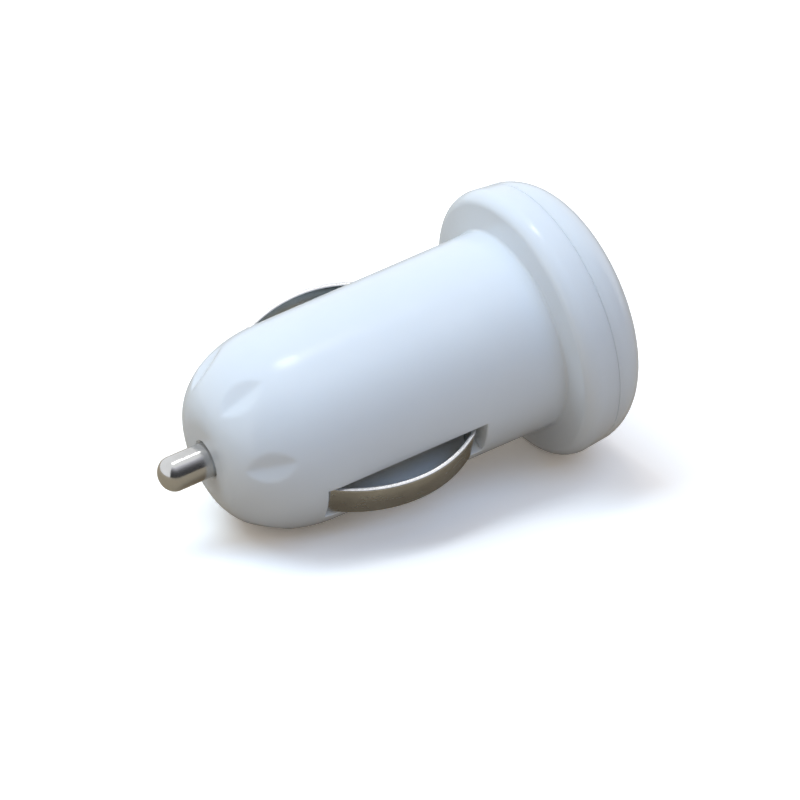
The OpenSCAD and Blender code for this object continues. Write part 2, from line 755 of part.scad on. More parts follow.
module input_capacitor() {
    color("darkslategray")
        translate([0, -cap_in_y, cap_in_z0])
            capacitor_can(cap_in_d, cap_in_len);
}

module output_capacitor() {
    color("darkslategray") on_top(0, cap_out_z) capacitor_can(cap_out_d, cap_out_h);
}

// Leads of both capacitors, cut off just past the far side of the board
module capacitor_leads() {
    color("silver") {
        for (x = [-1, 1])
            on_top(x * lead_spread(cap_out_d), cap_out_z)
                translate([0, 0, -board_t - lead_stub])
                    cylinder(h = board_t + lead_stub + can_foot, r = lead_r, $fn = 32);
        for (x = [-lead_spread(cap_in_d), lead_spread(cap_in_d)]) {
            translate([x, -cap_in_y, cap_in_lead_z])
                cylinder(h = cap_in_z0 + can_foot - cap_in_lead_z, r = lead_r, $fn = 32);
            translate([x, board_y + lead_stub, cap_in_lead_z])
                rotate([90, 0, 0])
                    cylinder(h = board_y + lead_stub + cap_in_y + lead_r, r = lead_r, $fn = 32);
        }
    }
}

// Side of a moulded body of width w, which leans in from its parting line at half its height
module moulded_side(w, length) {
    draft = 0.12;
    translate([0, length / 2, 0])
        rotate([90, 0, 0])
            linear_extrude(length)
                polygon([[draft - w / 2, 0], [w / 2 - draft, 0], [w / 2, chip_h / 2],
                    [w / 2 - draft, chip_h], [draft - w / 2, chip_h], [-w / 2, chip_h / 2]]);
}

module converter_chip() {
    color("black") under_board(0, chip_z)
        translate([0, 0, chip_lift]) intersection() {
            moulded_side(chip_w, chip_l);
            rotate([0, 0, 90]) moulded_side(chip_l, chip_w);
        }
}

// Eight gull-wing leads, four along each long side of the chip
module chip_leads() {
    t = 0.2;
    w = 0.42;
    mid = chip_lift + chip_h / 2;
    side = chip_l / 2 + 0.01;
    tip = chip_l / 2 + chip_lead_len;
    color("silver") for (row = [0, 180], i = [-1.5:1.5])
        under_board(0, chip_z)
            rotate([0, 0, row])
                translate([i * chip_pitch - w / 2, 0, 0])
                    rotate([90, 0, 90])
                        linear_extrude(w)
                            polygon([[side, mid - t / 2], [side + 0.25, mid - t / 2], [side + 0.45, 0],
                                [tip, 0], [tip, t], [side + 0.6, t],
                                [side + 0.4, mid + t / 2], [side, mid + t / 2]]);
}

// Distance between the middles of the output capacitor and of the part on either side of it
beside_cap = 1.9;
diode_x = cap_out_d / 2 + beside_cap;
diode_l = 4.2;
diode_w = 2.2;
diode_h = 2;
diode_lift = 0.1;
diode_lead_w = 1.4;
diode_lead_h = 1;

module schottky_diode() {
    draft = 0.15;
    parting = diode_h * 0.45;
    color("black") on_top(diode_x, cap_out_z)
        translate([0, diode_l / 2, diode_lift])
            rotate([90, 0, 0])
                linear_extrude(diode_l)
                    polygon([[draft - diode_w / 2, 0], [diode_w / 2 - draft, 0], [diode_w / 2, parting],
                        [diode_w / 2 - draft, diode_h], [draft - diode_w / 2, diode_h],
                        [-diode_w / 2, parting]]);
}

module diode_leads() {
    t = 0.15;
    foot = 0.5;
    side = diode_l / 2 + 0.02;
    color("silver") for (end = [0, 180])
        on_top(diode_x, cap_out_z)
            rotate([0, 0, end])
                translate([-diode_lead_w / 2, 0, 0])
                    rotate([90, 0, 90])
                        linear_extrude(diode_lead_w)
                            polygon([[side, diode_lead_h], [side, 0], [side + foot, 0],
                                [side + foot, t], [side + t, t], [side + t, diode_lead_h]]);
}

// Small ceramic block, as length along the board, width across it and height
module chip_part(size) {
    translate([-size[1] / 2, -size[0] / 2, 0]) cube([size[1], size[0], size[2]]);
}

fuse_x = -diode_x;
fuse_size = [3.2, 1.6, 0.7];
ceramic_size = [2, 1.25, 0.9];
ceramic_x = 5;
ceramic_gap = 1.25;
ceramic_step = 0.8;
resistor_size = [1.6, 0.8, 0.45];
resistor_x = 3.6;
edge_resistor_x = 5.4;
resistor_foot_gap = 1.1;
resistor_gap = 0.6;

module chip_fuse() {
    color("beige") on_top(fuse_x, cap_out_z) chip_part(fuse_size);
}

// Two rows of ceramic capacitors on the chip's face, spread from the chip to the board's end
module ceramic_capacitors() {
    row_gap = ceramic_size[0] + ceramic_step;
    color("tan") for (x = [-ceramic_x, ceramic_x], row = [0, 1])
        under_board(x, chip_z + chip_l / 2 + ceramic_gap + row * row_gap) chip_part(ceramic_size);
}

module chip_resistors() {
    row_z = foot_end_z + resistor_foot_gap;
    spots = [[-resistor_x, row_z], [resistor_x, row_z],
        [-edge_resistor_x, coil_z + resistor_gap], [edge_resistor_x, coil_z + resistor_gap],
        [fuse_x, cap_out_z - (fuse_size[0] + resistor_size[0]) / 2 - resistor_gap]];
    color("darkslategray") for (p = spots)
        on_top(p[0], p[1]) chip_part(resistor_size);
}

barrel_housing();
head_cap();
centre_pin();
pin_spring();
spring_seat();
right_contact();
left_contact();
circuit_board();
usb_shell();
usb_insulator();
usb_contacts();
status_lamp();
lamp_leads();
inductor_core();
inductor_winding();
input_capacitor();
output_capacitor();
capacitor_leads();
converter_chip();
chip_leads();
schottky_diode();
diode_leads();
chip_fuse();
ceramic_capacitors();
chip_resistors();
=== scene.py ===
from math import asin, atan2, cos, hypot, pi, radians, sin, sqrt

import bmesh
import bpy
from mathutils import Matrix, Vector


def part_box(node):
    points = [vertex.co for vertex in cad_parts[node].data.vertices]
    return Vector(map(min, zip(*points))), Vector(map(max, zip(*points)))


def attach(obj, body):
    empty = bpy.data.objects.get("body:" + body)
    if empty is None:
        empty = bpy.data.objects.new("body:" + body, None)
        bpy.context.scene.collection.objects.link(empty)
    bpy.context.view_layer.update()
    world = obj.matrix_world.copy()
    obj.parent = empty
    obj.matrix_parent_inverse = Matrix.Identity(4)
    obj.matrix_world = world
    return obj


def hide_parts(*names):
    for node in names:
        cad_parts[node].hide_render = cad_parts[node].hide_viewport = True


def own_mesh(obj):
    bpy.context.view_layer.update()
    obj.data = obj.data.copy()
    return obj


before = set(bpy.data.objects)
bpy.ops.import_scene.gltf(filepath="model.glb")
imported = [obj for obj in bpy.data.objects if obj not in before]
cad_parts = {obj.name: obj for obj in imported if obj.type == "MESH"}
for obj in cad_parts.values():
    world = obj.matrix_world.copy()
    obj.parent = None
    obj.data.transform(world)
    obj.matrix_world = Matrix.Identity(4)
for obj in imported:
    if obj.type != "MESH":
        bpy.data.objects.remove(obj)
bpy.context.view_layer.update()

# The camera and the table
# The plug lies on its side: the curves of its rim and of its nose touch the table, so its axis
# leans down towards the nose. The camera is level with that table.
mm = 0.001
hair = 0.01 * mm
head_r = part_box("barrel_housing")[1].x - hair
rim_z = 6.3 * mm
rim_edge_z = 7.9 * mm
rim_round = 1.15 * mm
shoulder_r = 10.05 * mm
shoulder_z = 32.55 * mm
nose_flat_r = 3.5 * mm
nose_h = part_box("barrel_housing")[1].z - shoulder_z
lying_azimuth = radians(-64.04)


def reach(centre_r, centre_z, radius_r, radius_z, lean):
    """How far an elliptical edge reaches along a line that leans from the radius to the axis."""
    return (centre_r * cos(lean) + centre_z * sin(lean)
            + hypot(radius_r * cos(lean), radius_z * sin(lean)))


axis_lean = radians(8)
for _ in range(8):
    rim_reach = reach(head_r - rim_round, rim_z, rim_round, rim_edge_z - rim_z, axis_lean)
    nose_reach = reach(nose_flat_r, shoulder_z, shoulder_r - nose_flat_r, nose_h, axis_lean)
    axis_lean += (rim_reach - nose_reach) / (shoulder_z - rim_z)
table_up = -Vector((
    cos(lying_azimuth) * cos(axis_lean), sin(lying_azimuth) * cos(axis_lean), sin(axis_lean)))
table_drop = rim_reach

camera_at = Vector((129.9, 232.1, 128.6)) * mm
camera_aim = Vector((2.63, 0.27, 22.3)) * mm
camera_top = Vector((-0.4328, 0.8888, -0.1506))


def facing(direction, upward):
    """Turn of a camera or lamp that looks along direction with its top towards upward."""
    back = -direction.normalized()
    right = upward.cross(back).normalized()
    return Matrix((right, back.cross(right), back)).transposed().to_euler()


lens = 132.5
camera_data = bpy.data.cameras.new("camera")
camera_data.lens = lens
camera_data.sensor_width = 36
camera_data.clip_start = 0.01
camera = bpy.data.objects.new("camera", camera_data)
camera.location = camera_at
camera.rotation_euler = facing(camera_aim - camera_at, camera_top)
bpy.context.scene.collection.objects.link(camera)
bpy.context.scene.camera = camera
bpy.context.scene.view_settings.view_transform = "Standard"


def node(tree, kind, **settings):
    """A new node of a kind, with its properties and its unlinked sockets set by name."""
    made = tree.nodes.new("ShaderNode" + kind)
    for name, value in settings.items():
        if hasattr(made, name):
            setattr(made, name, value)
        else:
            made.inputs[name.replace("_", " ")].default_value = value
    return made


def new_material(name):
    """A material with an empty Principled BSDF, as its tree and that shader."""
    material = bpy.data.materials.new(name)
    material.use_nodes = True
    return material, material.node_tree, material.node_tree.nodes["Principled BSDF"]


# The table top is a polished pale board, which a white coat brings up to pure white for the
# camera. Its underside is clear for the views from below, and it lets a share of the light
# from below past, so that no black spots show where the plug lies on it.
table_r = 0.9
share_let_past = 0.25
on_table = table_up.to_track_quat("Z", "Y").to_matrix()
bm = bmesh.new()
bmesh.ops.create_circle(bm, cap_ends=True, radius=table_r, segments=128)
bmesh.ops.translate(bm, verts=bm.verts, vec=(0, 0, -table_drop))
bmesh.ops.rotate(bm, verts=bm.verts, matrix=on_table)
table_mesh = bpy.data.meshes.new("table")
bm.to_mesh(table_mesh)
bm.free()
table = bpy.data.objects.new("table", table_mesh)
bpy.context.scene.collection.objects.link(table)

material, tree, shader = new_material("table_pale")
shader.inputs["Base Color"].default_value = (0.42, 0.38, 0.34, 1)
shader.inputs["Roughness"].default_value = 0.12
shader.inputs["IOR"].default_value = 1.5
rays = node(tree, "LightPath")
coat = node(tree, "BsdfDiffuse", Color=(1.0, 0.99, 0.98, 1))
coated = node(tree, "AddShader")
shown = node(tree, "MixShader")
tree.links.new(shader.outputs[0], coated.inputs[0])
tree.links.new(coat.outputs[0], coated.inputs[1])
tree.links.new(rays.outputs["Is Camera Ray"], shown.inputs[0])
tree.links.new(shader.outputs[0], shown.inputs[1])
tree.links.new(coated.outputs[0], shown.inputs[2])
clear = node(tree, "BsdfTransparent")
under = node(tree, "NewGeometry")
let_past = node(tree, "Math", operation="MULTIPLY")
let_past.inputs[1].default_value = share_let_past
tree.links.new(rays.outputs["Is Diffuse Ray"], let_past.inputs[0])
thin = node(tree, "MixShader")
tree.links.new(let_past.outputs[0], thin.inputs[0])
tree.links.new(shown.outputs[0], thin.inputs[1])
tree.links.new(clear.outputs[0], thin.inputs[2])
one_sided = node(tree, "MixShader")
tree.links.new(under.outputs["Backfacing"], one_sided.inputs[0])
tree.links.new(thin.outputs[0], one_sided.inputs[1])
tree.links.new(clear.outputs[0], one_sided.inputs[2])
tree.links.new(one_sided.outputs[0], tree.nodes["Material Output"].inputs["Surface"])
table.data.materials.append(material)

# The room is a white tent: dim for the light that falls on the plug, and dimmer from below
# than from above, but plain white for the camera and for what shines or is clear.
world = bpy.data.worlds.new("tent")
bpy.context.scene.world = world
world.use_nodes = True
tree = world.node_tree
glow = tree.nodes["Background"]
glow_above = (0.55, 0.51, 0.46, 1)
glow_below = (0.3, 0.285, 0.27, 1)
horizon = 0.12
rise = node(tree, "VectorMath", operation="DOT_PRODUCT")
rise.inputs[1].default_value = table_up
tree.links.new(node(tree, "TexCoord").outputs["Generated"], rise.inputs[0])
level = node(tree, "MapRange", interpolation_type="SMOOTHSTEP")
level.inputs["From Min"].default_value = -horizon
level.inputs["From Max"].default_value = horizon
tree.links.new(rise.outputs["Value"], level.inputs["Value"])
halves = node(tree, "Mix", data_type="RGBA")
tree.links.new(level.outputs[0], halves.inputs["Factor"])
halves.inputs[6].default_value = glow_below
halves.inputs[7].default_value = glow_above
tree.links.new(halves.outputs[2], glow.inputs["Color"])
white = node(tree, "Background", Color=(1, 1, 1, 1), Strength=1.0)
rays = node(tree, "LightPath")
seen = node(tree, "Math", operation="MAXIMUM")
seen_too = node(tree, "Math", operation="MAXIMUM")
pick = node(tree, "MixShader")
tree.links.new(rays.outputs["Is Camera Ray"], seen.inputs[0])
tree.links.new(rays.outputs["Is Glossy Ray"], seen.inputs[1])
tree.links.new(seen.outputs[0], seen_too.inputs[0])
tree.links.new(rays.outputs["Is Transmission Ray"], seen_too.inputs[1])
tree.links.new(seen_too.outputs[0], pick.inputs[0])
tree.links.new(glow.outputs[0], pick.inputs[1])
tree.links.new(white.outputs[0], pick.inputs[2])
tree.links.new(pick.outputs[0], tree.nodes["World Output"].inputs["Surface"])


# A small soft box hangs almost straight above the shoulder and gives the sharp highlight there.
# Two wide cool panels light the plug, one from the far left and one, dimmer, from the near right.
def soft_box(name, aim, direction, distance, size, power, colour):
    """A rectangular lamp at a distance from aim, which it faces."""
    lamp = bpy.data.lights.new(name, "AREA")
    lamp.shape = "RECTANGLE"
    lamp.size, lamp.size_y = size
    lamp.energy = power
    lamp.color = colour
    holder = bpy.data.objects.new(name, lamp)
    holder.location = aim + direction.normalized() * distance
    holder.rotation_euler = facing(-direction, Vector((0, 0, 1)))
    bpy.context.scene.collection.objects.link(holder)
    return holder


shoulder_top = Vector((-0.56, 10.0, 34)) * mm
above_shoulder = Vector((-0.566, 0.804, -0.184))
far_left = table_up + Vector((-0.5, 0.1, 0.45))
view = (camera_aim - camera_at).normalized()
near_right = table_up + view.cross(table_up) * 0.8 - view * 0.7
soft_box("key", shoulder_top, above_shoulder, 0.6, (0.1, 0.16), 0.32, (1.0, 0.98, 0.95))
for name, direction, power, colour in (
        ("far_panel", far_left, 3.9, (0.6, 0.8, 1.0)),
        ("near_panel", near_right, 1.4, (0.15, 0.47, 1.0))):
    soft_box(name, shoulder_top, direction, 0.8, (0.5, 0.5), power, colour).visible_glossy = False

# A bowed screen stands before the plug, dark at its foot and paler upwards, and a brown card
# lies under the plug. Only shiny surfaces show them: the dark and the warm band of the metal.
screen_h = 0.9
screen_off = 0.37
screen_left = radians(-30)
screen_right = radians(115)
card_r = 0.25
card_lift = 0.02 * mm


def for_gloss_only(name, bm):
    """Makes the mesh a thing that only reflections show, as its tree and its shader."""
    mesh = bpy.data.meshes.new(name)
    bm.to_mesh(mesh)
    bm.free()
    thing = bpy.data.objects.new(name, mesh)
    bpy.context.scene.collection.objects.link(thing)
    for seen_by in ("camera", "diffuse", "transmission", "volume_scatter", "shadow"):
        setattr(thing, "visible_" + seen_by, False)
    material, tree, shader = new_material(name)
    shader.inputs["Roughness"].default_value = 0.9
    mesh.materials.append(material)
    return tree, shader


ahead = on_table.transposed() @ camera_at
ahead_azimuth = atan2(ahead.y, ahead.x)
bm = bmesh.new()
side = [bm.verts.new((screen_off, 0, z)) for z in (0, screen_h)]
rail = bm.edges.new(side)
bmesh.ops.rotate(bm, verts=bm.verts, matrix=Matrix.Rotation(ahead_azimuth + screen_left, 3, "Z"))
bmesh.ops.spin(bm, geom=side + [rail], cent=(0, 0, 0), axis=(0, 0, 1),
               angle=screen_right - screen_left, steps=32)
bmesh.ops.translate(bm, verts=bm.verts, vec=(0, 0, -table_drop))
bmesh.ops.rotate(bm, verts=bm.verts, matrix=on_table)
tree, shader = for_gloss_only("screen", bm)
height = node(tree, "VectorMath", operation="DOT_PRODUCT")
tree.links.new(node(tree, "TexCoord").outputs["Object"], height.inputs[0])
height.inputs[1].default_value = table_up / screen_h
shade = node(tree, "ValToRGB")
ramp = shade.color_ramp.elements
ramp[0].position, ramp[0].color = 0, (0.06, 0.058, 0.055, 1)
ramp[1].position, ramp[1].color = 1, (1, 1, 1, 1)
for position, grey in ((0.05, 0.04), (0.22, 0.075), (0.36, 0.2), (0.54, 0.46), (0.85, 0.85)):
    ramp.new(position).color = (grey, grey, grey * 1.08, 1)
tree.links.new(height.outputs["Value"], shade.inputs["Fac"])
tree.links.new(shade.outputs["Color"], shader.inputs["Emission Color"])
shader.inputs["Emission Strength"].default_value = 1
shader.inputs["Base Color"].default_value = (0, 0, 0, 1)

bm = bmesh.new()
bmesh.ops.create_circle(bm, cap_ends=True, radius=card_r, segments=64)
bmesh.ops.translate(bm, verts=bm.verts, vec=(0, 0, card_lift - table_drop))
bmesh.ops.rotate(bm, verts=bm.verts, matrix=on_table)
tree, shader = for_gloss_only("card", bm)
shader.inputs["Base Color"].default_value = (0.42, 0.33, 0.22, 1)

# Barrel housing
# One glossy white moulding: the flange of the head, the tapered barrel and the domed nose with
# six shallow dimples. Two slots let the side contacts out, and the nose holds the pin's sleeve.
turn_steps = 288
turn_step = 2 * pi / turn_steps
seam_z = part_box("barrel_housing")[0].z
tip_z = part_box("barrel_housing")[1].z
seam_r = head_r - 0.18 * mm
seam_chamfer = 0.05 * mm
flange_bore_r = seam_r - 1.75 * mm
flange_floor_z = 6.6 * mm
head_top_z = 8.05 * mm
root_fillet = 0.3 * mm
barrel_r = 10.35 * mm
bore_r = 8.5 * mm
nose_wall = 2 * mm
pin_hole_r = 1.805 * mm
pin_hole_chamfer = 0.25 * mm
sleeve_bore_r = 3.18 * mm
sleeve_r = 4.53 * mm
sleeve_z = 33.65 * mm
slot_z0 = 17.1 * mm
slot_z1 = 34.6 * mm
slot_half = 2.2 * mm
slot_round = 0.12 * mm
slot_rib_h = 1.2 * mm
slot_rib_t = 0.8 * mm


class Profile:
    """A half section in the XZ plane, drawn as one chain of edges and then turned about Z."""

    def __init__(self, r, z):
        self.bm = bmesh.new()
        self.first = self.last = self.bm.verts.new((r, 0, z))

    def line(self, r, z, steps=1):
        start = self.last.co.copy()
        for i in range(1, steps + 1):
            vert = self.bm.verts.new(start.lerp(Vector((r, 0, z)), i / steps))
            self.bm.edges.new((self.last, vert))
            self.last = vert

    def arc(self, centre, radii, start, end, steps):
        """An elliptical arc about centre, from angle start to end in degrees, 0 outwards, 90 up."""
        for i in range(0, steps + 1):
            a = radians(start + (end - start) * i / steps)
            r = centre[0] + radii[0] * cos(a)
            z = centre[1] + radii[1] * sin(a)
            if i or (self.last.co - Vector((r, 0, z))).length > 1e-7:
                self.line(r, z)

    def close(self):
        self.bm.edges.new((self.last, self.first))

    def turned(self, steps=turn_steps):
        bm = self.bm
        bmesh.ops.spin(bm, geom=bm.verts[:] + bm.edges[:], cent=(0, 0, 0), axis=(0, 0, 1),
                       angle=2 * pi, steps=steps, use_merge=True)
        bmesh.ops.remove_doubles(bm, verts=bm.verts, dist=1e-6)
        bmesh.ops.recalc_face_normals(bm, faces=bm.faces)
        return bm


sharp_angle = radians(35)


def new_piece(name, bm, body, material, replaced=()):
    """Makes the mesh a piece of the object, smooth except across its sharp edges."""
    for face in bm.faces:
        face.smooth = True
    for edge in bm.edges:
        edge.smooth = not (edge.is_manifold and edge.calc_face_angle(0) > sharp_angle)
    mesh = bpy.data.meshes.new(name)
    bm.to_mesh(mesh)
    bm.free()
    mesh.materials.append(material)
    piece = bpy.data.objects.new(name, mesh)
    bpy.context.scene.collection.objects.link(piece)
    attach(piece, body)
    if replaced:
        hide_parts(*replaced)
    return piece


slot_rings = 12
ring_gap = 0.2 * mm
slot_lift = slot_z1 - shoulder_z
outer_nose = (shoulder_r - nose_flat_r, nose_h)
inner_nose = (bore_r - nose_flat_r, nose_h - nose_wall)
outer_split = asin(slot_lift / outer_nose[1]) * 180 / pi
inner_split = asin(slot_lift / inner_nose[1]) * 180 / pi
sleeve_split = atan2(sqrt(1 - ((sleeve_r - nose_flat_r) / inner_nose[0]) ** 2),
                     (sleeve_r - nose_flat_r) / inner_nose[0]) * 180 / pi
barrel_at_slot = (
    barrel_r + (shoulder_r - barrel_r) * (slot_z0 - head_top_z) / (shoulder_z - head_top_z))

half = Profile(flange_bore_r, seam_z)
half.line(seam_r - seam_chamfer, seam_z)
half.line(seam_r, seam_z + seam_chamfer)
half.line(head_r, rim_z, 5)
half.arc((head_r - rim_round, rim_z), (rim_round, rim_edge_z - rim_z), 0, 90, 20)
half.line(barrel_r + root_fillet, head_top_z, 5)
half.arc((barrel_r + root_fillet, head_top_z + root_fillet), (root_fillet, root_fillet),
         270, 180, 10)
half.line(barrel_at_slot, slot_z0, 9)
half.line(shoulder_r, shoulder_z, slot_rings)
half.arc((nose_flat_r, shoulder_z), outer_nose, 0, outer_split, 4)
half.arc((nose_flat_r, shoulder_z), outer_nose, outer_split, 90, 46)
half.line(pin_hole_r + pin_hole_chamfer, tip_z, 3)
half.line(pin_hole_r, tip_z - pin_hole_chamfer)
half.line(pin_hole_r, tip_z - nose_wall)
half.line(sleeve_bore_r, tip_z - nose_wall)
half.line(sleeve_bore_r, sleeve_z)
half.line(sleeve_r, sleeve_z)
half.arc((nose_flat_r, shoulder_z), inner_nose, sleeve_split, inner_split, 12)
half.arc((nose_flat_r, shoulder_z), inner_nose, inner_split, 0, 4)
half.line(bore_r, slot_z0, slot_rings)
half.line(bore_r, slot_z0 - ring_gap)
half.line(bore_r, flange_floor_z)
half.line(flange_bore_r, flange_floor_z)
half.close()
bm = half.turned()

# The dimples are pressed into the nose along its curve, as almonds with a crease in the middle.
dimple_pitch = 52
dimple_azimuths = [middle + step * dimple_pitch for middle in (90, 270) for step in (-1, 0, 1)]
dimple_rise = nose_h - 3.05 * mm
dimple_depth = 0.45 * mm
dimple_half_w = 1.5 * mm
dimple_half_l = 2.7 * mm
dimple_blend = 0.14
dimple_crease = 0.16
dimple_reach = 3 * mm
dimple_reach_down = 1.6 * mm
dimple_angle = asin(dimple_rise / nose_h)
dimple_r = nose_flat_r + outer_nose[0] * cos(dimple_angle)
meridian = Vector((-outer_nose[0] * sin(dimple_angle), 0, nose_h * cos(dimple_angle))).normalized()
outward = Vector((meridian.z, 0, -meridian.x))
for azimuth in dimple_azimuths:
    turn = Matrix.Rotation(radians(azimuth), 3, "Z")
    along, out, across = turn @ meridian, turn @ outward, turn @ Vector((0, 1, 0))
    centre = turn @ Vector((dimple_r, 0, shoulder_z + dimple_rise))
    for vert in bm.verts:
        away = vert.co - centre
        if away.length > dimple_reach or away.dot(out) < -dimple_reach_down:
            continue
        width_here = 1 - (away.dot(along) / dimple_half_l) ** 2
        inside = width_here - hypot(away.dot(across) / dimple_half_w, dimple_crease)
        if inside > dimple_blend:
            vert.co -= out * dimple_depth * inside
        elif inside > -dimple_blend:
            vert.co -= out * dimple_depth * (inside + dimple_blend) ** 2 / (4 * dimple_blend)

# Each slot is opened in the outer and the inner skin, and its walls join the two.
slot_span = round(asin(slot_half / barrel_r) / turn_step)
inner_span = asin(slot_half / bore_r)
edge_azimuth = slot_span * turn_step
free_azimuth = 2.5 * slot_span * turn_step
outer_skin = (9.2 * mm, 11 * mm, edge_azimuth)
inner_skin = (7.5 * mm, 8.6 * mm, inner_span)
for vert in bm.verts:
    r = hypot(vert.co.x, vert.co.y)
    if r < bore_r + 0.1 * mm and slot_z0 - hair < vert.co.z < slot_z1 + hair:
        azimuth = atan2(vert.co.y, abs(vert.co.x))
        if abs(azimuth) < edge_azimuth:
            shifted = azimuth * inner_span / edge_azimuth
        elif abs(azimuth) < free_azimuth:
            share = (abs(azimuth) - edge_azimuth) / (free_azimuth - edge_azimuth)
            shifted = inner_span + (free_azimuth - inner_span) * share
            shifted *= 1 if azimuth > 0 else -1
        else:
            continue
        side = 1 if vert.co.x > 0 else -1
        vert.co.x, vert.co.y = side * r * cos(shifted), r * sin(shifted)
for side in (1, -1):
    skins = []
    for low_r, high_r, span in (outer_skin, inner_skin):
        skin = []
        for face in bm.faces:
            middle = face.calc_center_median()
            if (middle.x * side > 0 and slot_z0 < middle.z < slot_z1
                    and low_r < hypot(middle.x, middle.y) < high_r
                    and abs(atan2(middle.y, abs(middle.x))) < span):
                skin.append(face)
        skins.append(skin)
    loops = []
    for skin in skins:
        inside = set(skin)
        loops.append([edge for face in skin for edge in face.edges
                      if len([near for near in edge.link_faces if near in inside]) == 1])
    bmesh.ops.delete(bm, geom=skins[0] + skins[1], context="FACES")
    bmesh.ops.bridge_loops(bm, edges=loops[0] + loops[1])
    bmesh.ops.bevel(bm, geom=[e for e in loops[0] if e.is_valid], offset=slot_round, affect="EDGES",
                    segments=3, profile=0.5, material=-1, clamp_overlap=True)
bmesh.ops.delete(bm, geom=[v for v in bm.verts if not v.link_faces], context="VERTS")

# Inside the bore a rib carries on both long sides of each slot.
for vert in bm.verts:
    r = hypot(vert.co.x, vert.co.y)
    if (7 * mm < r < bore_r + hair and slot_z0 - hair < vert.co.z < slot_z1 + hair
            and slot_half - hair < abs(vert.co.y) < slot_half + slot_rib_t):
        vert.co.x -= slot_rib_h * (1 if vert.co.x > 0 else -1)
bmesh.ops.recalc_face_normals(bm, faces=bm.faces)


def shader_group(name, inputs, outputs):
    """A node group with the named inputs (socket kind, default) and outputs (socket kind)."""
    group = bpy.data.node_groups.new(name, "ShaderNodeTree")
    for label, (kind, default) in inputs.items():
        socket = group.interface.new_socket(label, in_out="INPUT", socket_type="NodeSocket" + kind)
        socket.default_value = default
    for label, kind in outputs.items():
        group.interface.new_socket(label, in_out="OUTPUT", socket_type="NodeSocket" + kind)
    return group, group.nodes.new("NodeGroupInput"), group.nodes.new("NodeGroupOutput")


def grown(tree, coordinates, scale, detail, roughness=0.5):
    """A noise texture of a scale in features per metre, which reads the given coordinates."""
    noise = node(tree, "TexNoise", Scale=scale, Detail=detail, Roughness=roughness)
    tree.links.new(coordinates, noise.inputs["Vector"])
    return noise.outputs["Fac"]


def spread(tree, value, low, high):
    """The value mapped to run from low to high."""
    made = node(tree, "MapRange")
    made.inputs["From Min"].default_value = 0.3
    made.inputs["From Max"].default_value = 0.7
    tree.links.new(value, made.inputs["Value"])
    for end, label in ((low, "To Min"), (high, "To Max")):
        if isinstance(end, (int, float)):
            made.inputs[label].default_value = end
        else:
            tree.links.new(end, made.inputs[label])
    return made.outputs[0]


def sum_of(tree, *terms):
    """Sum of value times weight for each pair in terms."""
    total = None
    for value, weight in terms:
        scaled = node(tree, "Math", operation="MULTIPLY_ADD")
        tree.links.new(value, scaled.inputs[0])
        scaled.inputs[1].default_value = weight
        scaled.inputs[2].default_value = 0
        if total is not None:
            tree.links.new(total, scaled.inputs[2])
        total = scaled.outputs[0]
    return total


# Moulded plastic: a faint cloudiness in its colour, a gloss that changes a little from place
# to place, the long ripple of its mould and a fine skin.
moulded, inlet, outlet = shader_group(
    "moulded_skin",
    {"Pale": ("Color", (1, 1, 1, 1)), "Deep": ("Color", (0.9, 0.9, 0.9, 1)),
     "Gloss low": ("Float", 0.1), "Gloss high": ("Float", 0.2), "Ripple": ("Float", 0.1)},
    {"Color": "Color", "Roughness": "Float", "Normal": "Vector"})
place = node(moulded, "TexCoord").outputs["Object"]
clouds = grown(moulded, place, 90, 4)
blend = node(moulded, "Mix", data_type="RGBA")
moulded.links.new(spread(moulded, clouds, 0, 1), blend.inputs["Factor"])
moulded.links.new(inlet.outputs["Pale"], blend.inputs[6])
moulded.links.new(inlet.outputs["Deep"], blend.inputs[7])
gloss = grown(moulded, place, 420, 3)
skin_bump = node(moulded, "Bump", Distance=0.0001)
height = sum_of(moulded, (grown(moulded, place, 160, 2), 1.0), (grown(moulded, place, 2600, 2), 0.06))
moulded.links.new(height, skin_bump.inputs["Height"])
moulded.links.new(inlet.outputs["Ripple"], skin_bump.inputs["Strength"])
moulded.links.new(blend.outputs[2], outlet.inputs["Color"])
moulded.links.new(spread(moulded, gloss, inlet.outputs["Gloss low"], inlet.outputs["Gloss high"]),
                  outlet.inputs["Roughness"])
moulded.links.new(skin_bump.outputs[0], outlet.inputs["Normal"])


def moulded_plastic(name, pale, deep, gloss_low, gloss_high, ripple):
    """A moulded finish between two tones and two levels of gloss."""
    material, tree, shader = new_material(name)
    skin = node(tree, "Group", node_tree=moulded)
    skin.inputs["Pale"].default_value = (*pale, 1)
    skin.inputs["Deep"].default_value = (*deep, 1)
    skin.inputs["Gloss low"].default_value = gloss_low
    skin.inputs["Gloss high"].default_value = gloss_high
    skin.inputs["Ripple"].default_value = ripple
    tree.links.new(skin.outputs["Color"], shader.inputs["Base Color"])
    tree.links.new(skin.outputs["Roughness"], shader.inputs["Roughness"])
    tree.links.new(skin.outputs["Normal"], shader.inputs["Normal"])
    shader.inputs["IOR"].default_value = 1.53
    return material


def let_light_in(material):
    """Thin white plastic lets some light through, most of all at its edges."""
    shader = material.node_tree.nodes["Principled BSDF"]
    shader.inputs["Subsurface Weight"].default_value = 0.35
    shader.inputs["Subsurface Radius"].default_value = (1.0, 0.95, 0.9)
    shader.inputs["Subsurface Scale"].default_value = 1 * mm


housing_white = moulded_plastic(
    "housing_white", (0.84, 0.88, 0.92), (0.815, 0.855, 0.9), 0.16, 0.24, 0.12)
let_light_in(housing_white)
new_piece("housing", bm, "charger", housing_white, replaced=["barrel_housing"])


